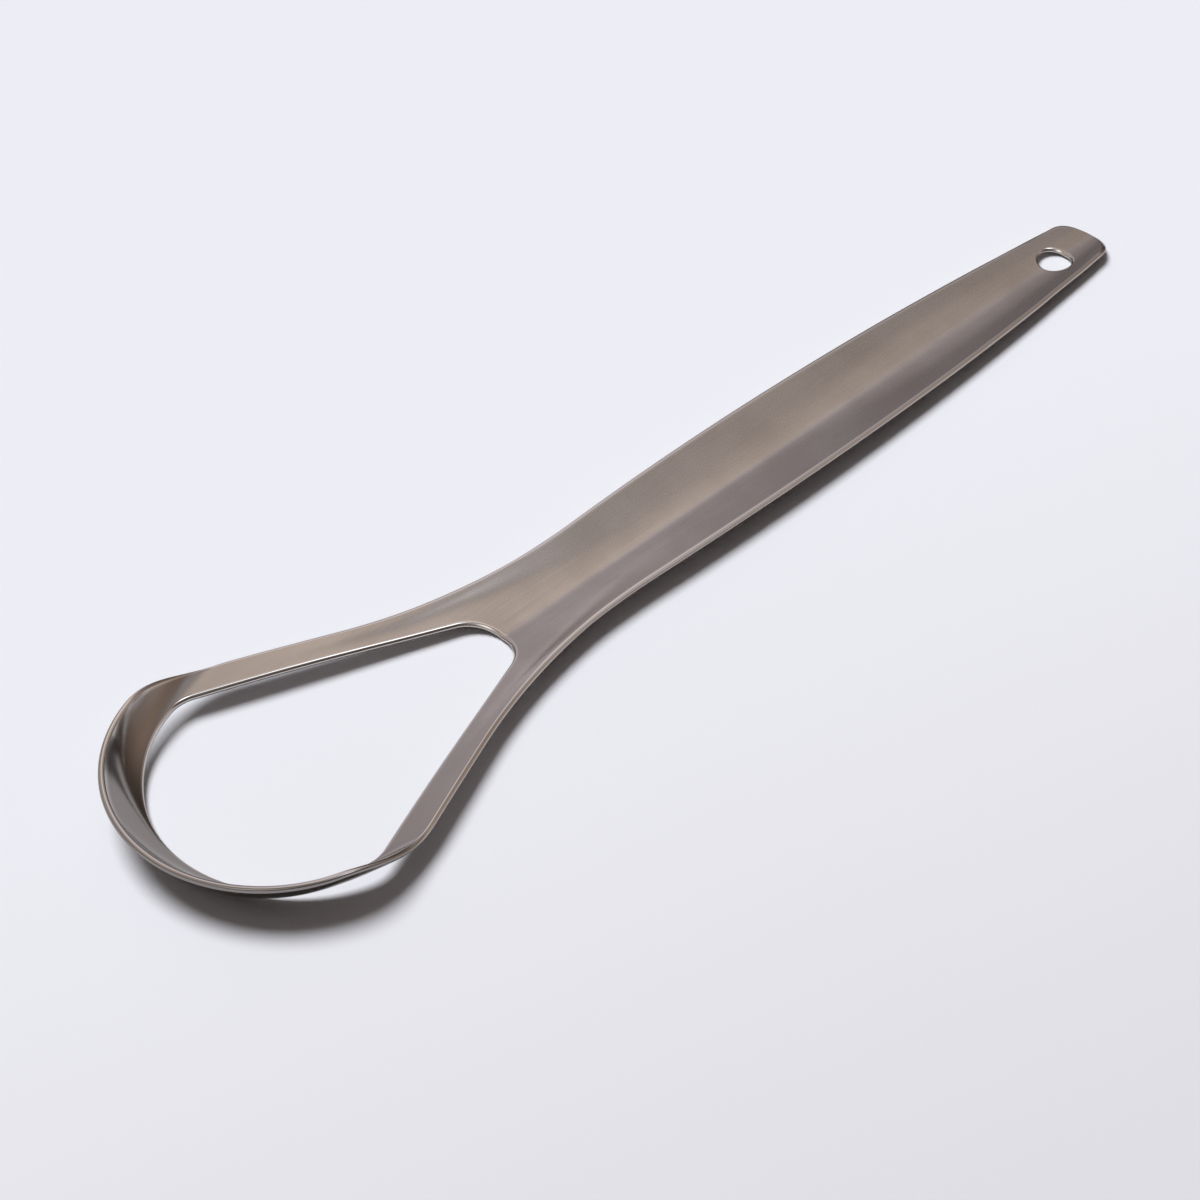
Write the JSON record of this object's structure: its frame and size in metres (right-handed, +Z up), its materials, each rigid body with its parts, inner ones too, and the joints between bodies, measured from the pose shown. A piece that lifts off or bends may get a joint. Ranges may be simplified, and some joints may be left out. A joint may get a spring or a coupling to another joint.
{
  "type": "tongue scraper",
  "caption": "Pressed steel tongue scraper: a dished round scraping rim whose arms close a teardrop loop and run into a trough-shaped handle with a hanging hole.",
  "frame": {"origin": "on the table, under the middle of the scraper's length, on its plane of symmetry", "axes": "+X from the scraping rim to the tail, +Y across to the left arm, +Z up from the table"},
  "size_m": [0.1556, 0.037, 0.006],
  "materials": {
    "stainless_steel": "satin tumbled stainless steel, brighter inside the rim and on the edges"
  },
  "bodies": {
    "root": {"scraping_rim": "stainless_steel", "left_arm": "stainless_steel", "right_arm": "stainless_steel", "neck": "stainless_steel", "handle": "stainless_steel", "hanging_end": "stainless_steel"}
  },
  "joints": []
}
